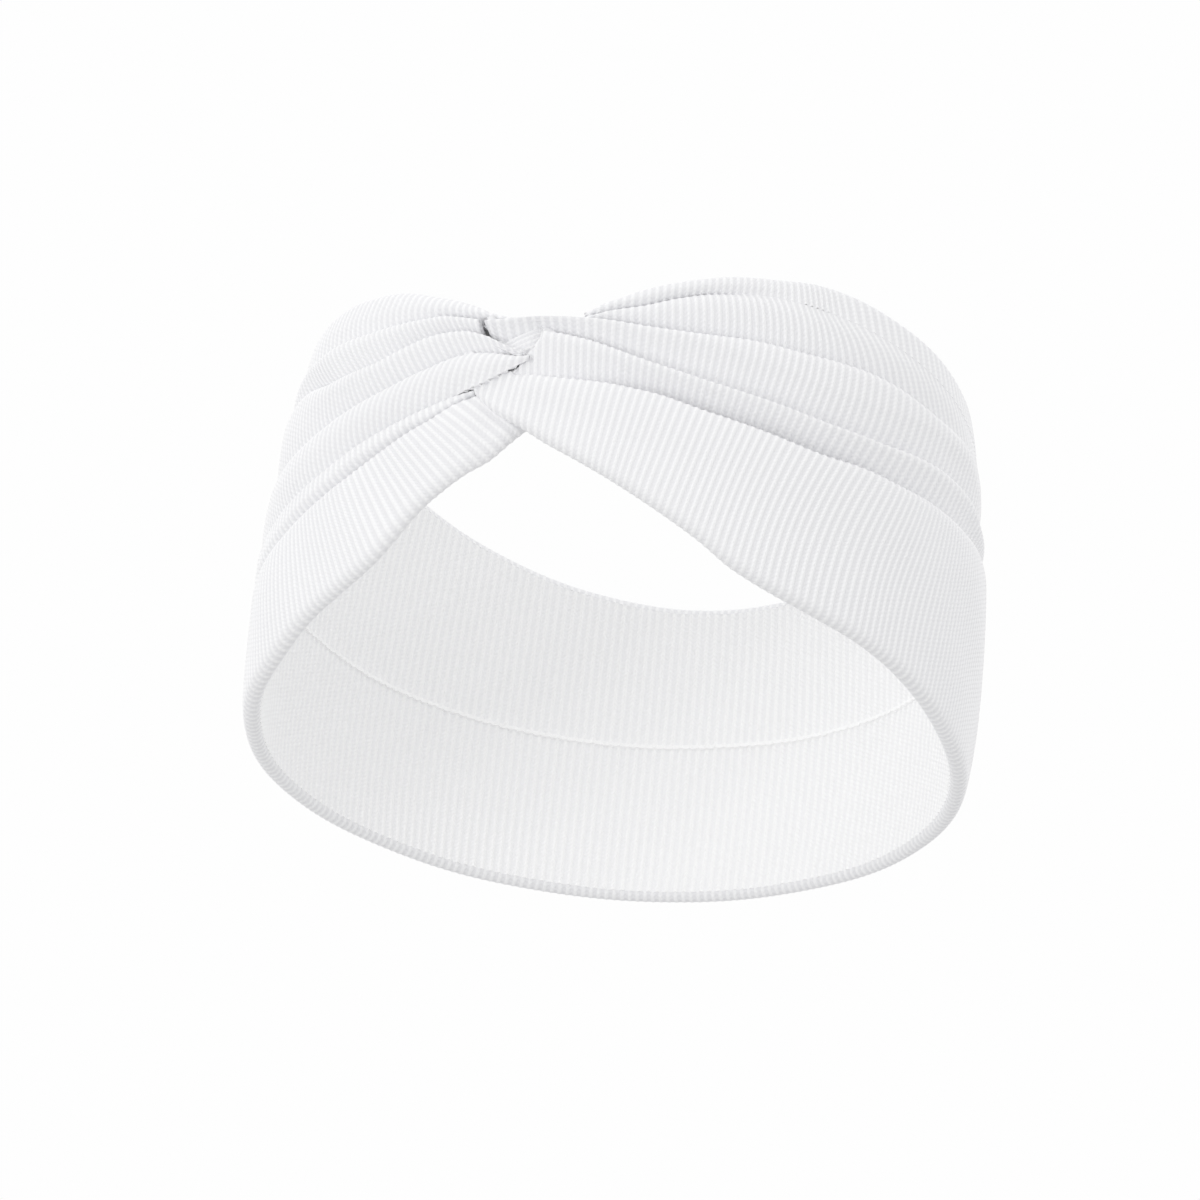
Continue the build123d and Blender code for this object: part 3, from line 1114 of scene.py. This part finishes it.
    def build(self, finish: bpy.types.Material, highlit_finish: bpy.types.Material) -> None:
        """Sew the lining round the back and behind both arms.

        Args:
            finish: material of the lining.
            highlit_finish: the same with a whiter ridge and a painted highlight along its lower
                edge, for the upper half.
        """
        leaf = self.closing_angle - self.leaf_depth / LOOP.arc
        for name, start, end, side, lower_nodes, upper_nodes in (
            ("back_lining", 290.0, 95.0, 0, ("lining_lower_half", "seam_allowance_lower"),
             ("lining_upper_half", "seam_allowance_upper")),
            ("right_lining", 95.0, leaf, 1, ("right_lower_panel", "closing_allowance_right"),
             ("right_pleat_lower", "closing_allowance_right")),
            ("left_lining", -leaf, -70.0, -1, ("left_lower_panel", "closing_allowance_left"),
             ("left_pleat_middle", "closing_allowance_left", "knot_fold_left_rear")),
        ):
            lower, upper = (self.half(start, end, above, side) for above in (False, True))
            sew(f"{name}_lower_knit", lower, lower_nodes, finish)
            sew(f"{name}_upper_knit", upper, upper_nodes, highlit_finish)


# ---- the cloth inside the knot -----------------------------------------------------------------
@dataclass(frozen=True)
class KnotPatch:
    """Cloth of the right end that shows between the crossing folds, its ribs almost level.

    Attributes:
        middle: angle and height of its middle.
        rib_count: number of ribs across it.
        rib_step: distance between its squeezed ribs.
        run: its size along the ribs.
        slope: degrees by which its ribs rise to the right.
        crown: how far its middle stands out from its edges.
        edge_inset: inset of its edges.
        rows: number of grid rows along its ribs.
    """

    middle: tuple[float, float] = (0.2, 64.9)
    rib_count: int = 8
    rib_step: float = 1.55
    run: float = 14.0
    slope: float = 24.0
    crown: float = 1.5
    edge_inset: float = 2.6
    rows: int = 26

    def draped(self) -> Draped:
        """Lay the patch behind the gap between the folds.

        Returns:
            The draped sheet.
        """
        ribs = np.linspace(0, self.rib_count, self.rib_count * KNIT.columns_per_rib + 1)
        across = (ribs - self.rib_count / 2)[:, None] * self.rib_step
        along = np.linspace(-0.5, 0.5, self.rows)[None, :] * self.run
        turn = math.radians(self.slope)
        right = across * math.sin(turn) + along * math.cos(turn)
        up = -across * math.cos(turn) + along * math.sin(turn)
        angle = self.middle[0] + right / LOOP.arc
        z = self.middle[1] + up
        off = np.hypot(2 * across / (self.rib_count * self.rib_step), 2 * along / self.run)
        inset = self.edge_inset - self.crown * (1 - np.clip(off, 0, 1) ** 2)
        return Draped(ribs, angle, z, inset)

    def build(self, finish: bpy.types.Material) -> None:
        """Sew the patch.

        Args:
            finish: material of the outer cloth.
        """
        sew("knot_patch_knit", self.draped(), ("knot_fold_right_upper",), finish)


# ---- finishes ---------------------------------------------------------------------------------
def linear(code: str) -> tuple[float, float, float, float]:
    """Turn an sRGB hex colour into Blender's linear colour.

    Args:
        code: six hex digits.

    Returns:
        Red, green, blue and alpha.
    """
    channels = [int(code[i : i + 2], 16) / 255 for i in (0, 2, 4)]
    return (*((c / 12.92 if c <= 0.04045 else ((c + 0.055) / 1.055) ** 2.4) for c in channels), 1.0)


def add_node(
    tree: bpy.types.NodeTree, kind: str, inputs: dict | None = None, **settings: object
) -> bpy.types.Node:
    """Add a node with its settings and its links.

    Args:
        tree: tree to add it to.
        kind: the node's type.
        inputs: value or output socket for each input, by name or index.
        settings: properties of the node.

    Returns:
        The new node.
    """
    node = tree.nodes.new(kind)
    for key, value in settings.items():
        setattr(node, key, value)
    for key, value in (inputs or {}).items():
        if isinstance(value, bpy.types.NodeSocket):
            tree.links.new(value, node.inputs[key])
        else:
            node.inputs[key].default_value = value
    return node


def clear_tree(owner: bpy.types.Material | bpy.types.World) -> bpy.types.NodeTree:
    """Switch a material or a world to nodes.

    Args:
        owner: the material or world.

    Returns:
        Its node tree, emptied.
    """
    owner.use_nodes = True
    owner.node_tree.nodes.clear()
    return owner.node_tree


@dataclass(frozen=True)
class SewingThreadFinish:
    """White spun polyester thread: slightly brighter and smoother than the knit, with a twist.

    Attributes:
        name: name of the material.
        strand: colour of the plies.
        groove_shade: colour between them, a painted shade darker than the plies.
        twist_pitch: length of one turn of the plies, in millimetres.
        ply_depth: depth of the grooves, in millimetres.
        roughness: roughness of the spun fibres.
        wave_length: length of one wave of Blender's wave texture at scale 1.
    """

    name: str = "white_spun_polyester_thread"
    strand: str = "F6F6F4"
    groove_shade: str = "E2E2E0"
    twist_pitch: float = 0.7
    ply_depth: float = 0.06
    roughness: float = 0.6
    wave_length: float = 0.314

    def material(self) -> bpy.types.Material:
        """Build the material.

        Returns:
            The material, with its nodes.
        """
        made = bpy.data.materials.new(self.name)
        tree = clear_tree(made)
        place = add_node(tree, "ShaderNodeTexCoord")
        # the plies wind round the thread
        plies = add_node(
            tree, "ShaderNodeTexWave",
            {"Vector": place.outputs["Object"], "Scale": self.wave_length / (self.twist_pitch * MM),
             "Distortion": 1.0, "Detail": 1.0},
            bands_direction="DIAGONAL",
        )
        # painted shade: the grooves between the plies are coloured darker than the plies
        colour = add_node(
            tree, "ShaderNodeMix",
            {0: plies.outputs["Fac"], 6: linear(self.groove_shade), 7: linear(self.strand)},
            data_type="RGBA",
        )
        bump = add_node(
            tree, "ShaderNodeBump",
            {"Strength": 0.5, "Distance": self.ply_depth * MM, "Height": plies.outputs["Fac"]},
        )
        surface = add_node(
            tree, "ShaderNodeBsdfPrincipled",
            {"Base Color": colour.outputs[2], "Roughness": self.roughness, "Sheen Weight": 0.1,
             "Normal": bump.outputs[0]},
        )
        add_node(tree, "ShaderNodeOutputMaterial", {"Surface": surface.outputs[0]})
        return made


@dataclass(frozen=True)
class RibKnitFinish:
    """White cotton and elastane rib knit: matt ridges of small loops, with painted shade in the
    valleys.

    Attributes:
        name: name of the material.
        ridge: colour of the ridges.
        valley: colour of the valleys, a painted shade darker than the ridges.
        tone_edges: shares of a rib off its ridge between which the colour changes to the painted
            valley shade.
        loop_pitch: height of one knitted loop, in millimetres.
        loop_slant: how steeply the two legs of a loop lean.
        loop_depth: how far the loops and fibres stand out, in millimetres.
        fibres: loose fibres to the metre.
        fibre_share: how far they stand out, as a share of the loops.
        roughness: roughness of the cotton.
        highlight_band: width of a band along the lower edge whose valleys keep the ridge colour, a
            painted highlight, in millimetres.
    """

    name: str
    ridge: str = "FAFAFB"
    valley: str = "EFEFF1"
    tone_edges: tuple[float, float] = (0.08, 0.34)
    loop_pitch: float = 1.15
    loop_slant: float = 1.6
    loop_depth: float = 0.12
    fibres: float = 3000.0
    fibre_share: float = 0.8
    roughness: float = 0.85
    highlight_band: float = 0.0

    def material(self) -> bpy.types.Material:
        """Build the material.

        Returns:
            The material, with its nodes.
        """
        made = bpy.data.materials.new(self.name)
        tree = clear_tree(made)
        cloth = add_node(tree, "ShaderNodeUVMap", uv_map="cloth")
        axes = add_node(tree, "ShaderNodeSeparateXYZ", {0: cloth.outputs[0]})
        # one rib is one wale of knit; off_ridge is the share of a rib between a point and its
        # ridge, from 0 on the ridge to 0.5 in the valleys
        off_ridge = axes.outputs[0]
        for operation, number in (
            ("DIVIDE", KNIT.rib_pitch), ("FRACT", 0.0), ("SUBTRACT", 0.5), ("ABSOLUTE", 0.0)
        ):
            step = add_node(
                tree, "ShaderNodeMath", {0: off_ridge, 1: number}, operation=operation
            )
            off_ridge = step.outputs[0]
        # the loops of a wale are small Vs, one above the other
        courses = add_node(
            tree, "ShaderNodeMath", {0: axes.outputs[1], 1: self.loop_pitch}, operation="DIVIDE"
        )
        slant = add_node(
            tree, "ShaderNodeMath",
            {0: off_ridge, 1: self.loop_slant, 2: courses.outputs[0]},
            operation="MULTIPLY_ADD",
        )
        phase = add_node(
            tree, "ShaderNodeMath", {0: slant.outputs[0], 1: 2 * math.pi}, operation="MULTIPLY"
        )
        loops = add_node(tree, "ShaderNodeMath", {0: phase.outputs[0]}, operation="SINE")
        # loose fibres, about a third of a millimetre apart
        place = add_node(tree, "ShaderNodeTexCoord")
        fuzz = add_node(
            tree, "ShaderNodeTexNoise",
            {"Vector": place.outputs["Object"], "Scale": self.fibres, "Detail": 2.0,
             "Roughness": 0.6},
        )
        relief = add_node(
            tree, "ShaderNodeMath", {0: fuzz.outputs[0], 1: self.fibre_share, 2: loops.outputs[0]},
            operation="MULTIPLY_ADD",
        )
        bump = add_node(
            tree, "ShaderNodeBump",
            {"Strength": 0.35, "Distance": self.loop_depth * MM, "Height": relief.outputs[0]},
        )
        # painted shade: the valleys are coloured darker than the ridges, standing in for the shade
        # between the ribs
        valley_shade_mask = add_node(
            tree, "ShaderNodeMapRange",
            {0: off_ridge, 1: self.tone_edges[0], 2: self.tone_edges[1], 3: 0.0, 4: 1.0},
            interpolation_type="SMOOTHSTEP",
        )
        shade = valley_shade_mask.outputs[0]
        if self.highlight_band:
            # painted highlight: along the lower edge the valleys keep the ridge colour, a bright
            # line where the seam's ridge catches the light
            inside = add_node(
                tree, "ShaderNodeMath", {0: axes.outputs[1], 1: self.highlight_band},
                operation="GREATER_THAN",
            )
            kept = add_node(
                tree, "ShaderNodeMath", {0: shade, 1: inside.outputs[0]}, operation="MULTIPLY"
            )
            shade = kept.outputs[0]
        colour = add_node(
            tree, "ShaderNodeMix",
            {0: shade, 6: linear(self.ridge), 7: linear(self.valley)},
            data_type="RGBA",
        )
        surface = add_node(
            tree, "ShaderNodeBsdfPrincipled",
            {"Base Color": colour.outputs[2], "Roughness": self.roughness,
             "Specular IOR Level": 0.3, "Sheen Weight": 0.15, "Sheen Roughness": 0.5,
             "Normal": bump.outputs[0]},
        )
        add_node(tree, "ShaderNodeOutputMaterial", {"Surface": surface.outputs[0]})
        return made


@dataclass(frozen=True)
class ClosingThread:
    """The thread that sews the two leaves of the closing seam together behind the knot.

    Attributes:
        thickness: diameter of the thread.
        stitch: length of one stitch that shows.
        pitch: distance from one stitch to the next.
        lowest: height of the lowest stitch.
        count: number of stitches on each leaf.
        inset: inset of the row of stitches.
        outset: how far the thread's middle lies off the leaf.
        arch: how far a stitch's middle stands off its ends.
        end_rounding: share of the thickness by which a stitch's ends are rounded.
        faces: faces round a stitch.
    """

    thickness: float = 0.5
    stitch: float = 1.9
    pitch: float = 2.5
    lowest: float = 54.0
    count: int = 6
    inset: float = 13.2
    outset: float = 0.3
    arch: float = 0.14
    end_rounding: float = 0.35
    faces: int = 10

    def one_stitch(self) -> bpy.types.Object:
        """Model one stitch, upright at the origin: a short round bar, arched and rounded.

        Returns:
            The bar.
        """
        bpy.ops.object.select_all(action="DESELECT")
        bpy.ops.mesh.primitive_cylinder_add(
            vertices=self.faces, radius=self.thickness / 2 * MM, depth=self.stitch * MM,
            end_fill_type="NGON",
        )
        bar = bpy.context.active_object
        bpy.ops.object.mode_set(mode="EDIT")
        bpy.ops.mesh.select_all(action="SELECT")
        bpy.ops.mesh.bisect(plane_co=(0, 0, 0), plane_no=(0, 0, 1))
        bpy.ops.object.mode_set(mode="OBJECT")
        rounding = bar.modifiers.new("rounded_ends", "BEVEL")
        rounding.width = self.end_rounding * self.thickness * MM
        rounding.segments = 3
        rounding.limit_method = "ANGLE"
        bpy.ops.object.modifier_apply(modifier=rounding.name)
        for point in bar.data.vertices:
            off_middle = abs(point.co.z) / (self.stitch / 2 * MM)
            point.co.x += self.arch * MM * (1 - off_middle**2)
        bpy.ops.object.shade_smooth_by_angle(angle=math.radians(50))
        return bar

    def build(self, finish: bpy.types.Material) -> None:
        """Lay a row of stitches on each leaf and join them as one piece.

        Args:
            finish: material of the thread.
        """
        pattern = self.one_stitch()
        turn = math.radians(Lining().closing_angle)
        stitches = []
        for number in range(self.count):
            z = self.lowest + number * self.pitch
            reach = float(LOOP.radius(z)) - self.inset
            for side in (1, -1):
                copy = pattern.copy()
                copy.data = pattern.data.copy()
                for point in copy.data.vertices:
                    point.co.x = side * (point.co.x + (reach * math.sin(turn) + self.outset) * MM)
                    point.co.y -= reach * math.cos(turn) * MM
                    point.co.z += z * MM
                if side < 0:
                    copy.data.flip_normals()
                bpy.context.collection.objects.link(copy)
                stitches.append(copy)
        bpy.data.objects.remove(pattern)
        bpy.ops.object.select_all(action="DESELECT")
        for stitch in stitches:
            stitch.select_set(True)
        bpy.context.view_layer.objects.active = stitches[0]
        bpy.ops.object.join()
        piece = stitches[0]
        piece.name = piece.data.name = "closing_seam_thread"
        piece.data.materials.append(finish)
        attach(piece, ROOT)
        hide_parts("closing_stitches")
        LOG.info("%s: %d faces", piece.name, len(piece.data.polygons))


def dress_seam_stitches(thread: bpy.types.Material) -> None:
    """Give the stitches inside the lengthwise seam their thread.

    Args:
        thread: the sewing thread's material.
    """
    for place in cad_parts["seam_stitches"].material_slots:
        place.material = thread
    LOG.info("seam_stitches: dressed in %s", thread.name)


# ---- the studio ------------------------------------------------------------------------------
@dataclass(frozen=True)
class SoftLight:
    """A soft square light that faces the band.

    Attributes:
        name: name of the light.
        place: where it stands, in metres.
        side: its side, in metres.
        power: its power, in watts.
    """

    name: str
    place: tuple[float, float, float]
    side: float
    power: float

    def build(self, target: Vector) -> None:
        """Hang the light.

        Args:
            target: the point it faces.
        """
        lamp = bpy.data.lights.new(self.name, "AREA")
        lamp.size = self.side
        lamp.energy = self.power
        holder = bpy.data.objects.new(self.name, lamp)
        holder.location = self.place
        aim = target - holder.location
        holder.rotation_euler = aim.to_track_quat("-Z", "Y").to_euler()
        bpy.context.collection.objects.link(holder)


@dataclass(frozen=True)
class Studio:
    """A pale floor, soft light from the front, from above and from the side, and the camera.

    Attributes:
        lights: the soft lights.
        middle: the band's middle, which the lights face.
        sky: strength of the world's light straight from below and straight from above.
        floor_size: side of the floor.
        floor_level: height of the floor, just under the lower rim.
        camera_place: where the camera stands, in metres.
        camera_right: its direction to the right.
        camera_up: its upward direction.
        lens: focal length, in millimetres.
        sensor: width of the sensor, in millimetres.
        shift: shift of the lens, which only frames the view.
    """

    lights: tuple[SoftLight, ...] = (
        SoftLight("key_light", (-0.5, -1.2, -0.4), 0.6, 2.9),
        SoftLight("top_light", (-0.5, -0.3, 1.2), 0.9, 0.8),
        SoftLight("fill_light", (1.3, -0.6, 0.1), 0.8, 0.8),
    )
    middle: tuple[float, float, float] = (0.0, 0.0, 0.045)
    sky: tuple[float, float] = (0.645, 1.08)
    floor_size: float = 6.0
    floor_level: float = -0.0002
    camera_place: tuple[float, float, float] = (0.3245, -0.9347, -0.4357)
    camera_right: tuple[float, float, float] = (0.95454, 0.28254, 0.09499)
    camera_up: tuple[float, float, float] = (0.04277, -0.44519, 0.89441)
    lens: float = 139.5
    sensor: float = 36.0
    shift: tuple[float, float] = (-0.0177, -0.0081)

    def build(self) -> None:
        """Set up the floor, the lights, the world and the camera."""
        self.floor()
        self.world()
        for light in self.lights:
            light.build(Vector(self.middle))
        self.camera()
        bpy.context.scene.view_settings.view_transform = "Standard"

    def floor(self) -> None:
        """A wide pale floor, which is clear from underneath."""
        bpy.ops.object.select_all(action="DESELECT")
        bpy.ops.mesh.primitive_plane_add(size=self.floor_size, location=(0, 0, self.floor_level))
        floor = bpy.context.active_object
        floor.name = "studio_floor"
        made = bpy.data.materials.new("matt_paper")
        tree = clear_tree(made)
        below = add_node(tree, "ShaderNodeNewGeometry")
        paper = add_node(tree, "ShaderNodeBsdfDiffuse", {"Color": linear("F4F4F4")})
        clear = add_node(tree, "ShaderNodeBsdfTransparent")
        both = add_node(
            tree, "ShaderNodeMixShader",
            {0: below.outputs["Backfacing"], 1: paper.outputs[0], 2: clear.outputs[0]},
        )
        add_node(tree, "ShaderNodeOutputMaterial", {"Surface": both.outputs[0]})
        floor.data.materials.append(made)
        # light from below reaches the inside of the band, as it does above a glass table
        floor.visible_shadow = floor.visible_diffuse = floor.visible_glossy = False

    def world(self) -> None:
        """White light from all round, stronger from above."""
        world = bpy.data.worlds.new("studio_world")
        tree = clear_tree(world)
        direction = add_node(tree, "ShaderNodeTexCoord")
        axes = add_node(tree, "ShaderNodeSeparateXYZ", {0: direction.outputs["Generated"]})
        level = add_node(
            tree, "ShaderNodeMapRange",
            {0: axes.outputs[2], 1: -1.0, 2: 1.0, 3: self.sky[0], 4: self.sky[1]},
        )
        sky = add_node(
            tree, "ShaderNodeBackground", {"Color": linear("FFFFFF"), "Strength": level.outputs[0]}
        )
        backdrop = add_node(
            tree, "ShaderNodeBackground", {"Color": linear("FEFEFE"), "Strength": 1.0}
        )
        path = add_node(tree, "ShaderNodeLightPath")
        both = add_node(
            tree, "ShaderNodeMixShader",
            {0: path.outputs["Is Camera Ray"], 1: sky.outputs[0], 2: backdrop.outputs[0]},
        )
        add_node(tree, "ShaderNodeOutputWorld", {"Surface": both.outputs[0]})
        bpy.context.scene.world = world

    def camera(self) -> None:
        """Put the camera low in front of the band, looking up into it."""
        right, up = Vector(self.camera_right), Vector(self.camera_up)
        back = right.cross(up)
        lens = bpy.data.cameras.new("camera")
        lens.lens = self.lens
        lens.sensor_width = self.sensor
        lens.shift_x, lens.shift_y = self.shift
        lens.clip_end = 20.0
        holder = bpy.data.objects.new("camera", lens)
        turn = Matrix((right, up, back)).transposed().to_4x4()
        holder.matrix_world = Matrix.Translation(self.camera_place) @ turn
        bpy.context.collection.objects.link(holder)
        bpy.context.scene.camera = holder


def main() -> None:
    """Build the band's pieces, then the studio round it."""
    logging.basicConfig(level=logging.INFO, format="%(message)s")
    # painted light: face and lining are one knit, the face coloured darker and the lining lighter
    # for the light that falls outside and inside the band; each valley colour is painted shade
    face = RibKnitFinish("white_rib_knit_face").material()
    lining = RibKnitFinish("white_rib_knit_lining", ridge="FEFEFE", valley="F8F8F9")
    # painted highlight: the upper lining halves get a whiter ridge and a bright band along the seam
    highlit_lining = replace(lining, name="white_rib_knit_lining_painted_highlight", ridge="FFFFFF", highlight_band=1.1)
    RightArm().build(face)
    LeftArm().build(face)
    KnotPatch().build(face)
    Back().build(face)
    Lining().build(lining.material(), highlit_lining.material())
    thread = SewingThreadFinish().material()
    ClosingThread().build(thread)
    dress_seam_stitches(thread)
    Studio().build()


if __name__ == "__main__":
    main()
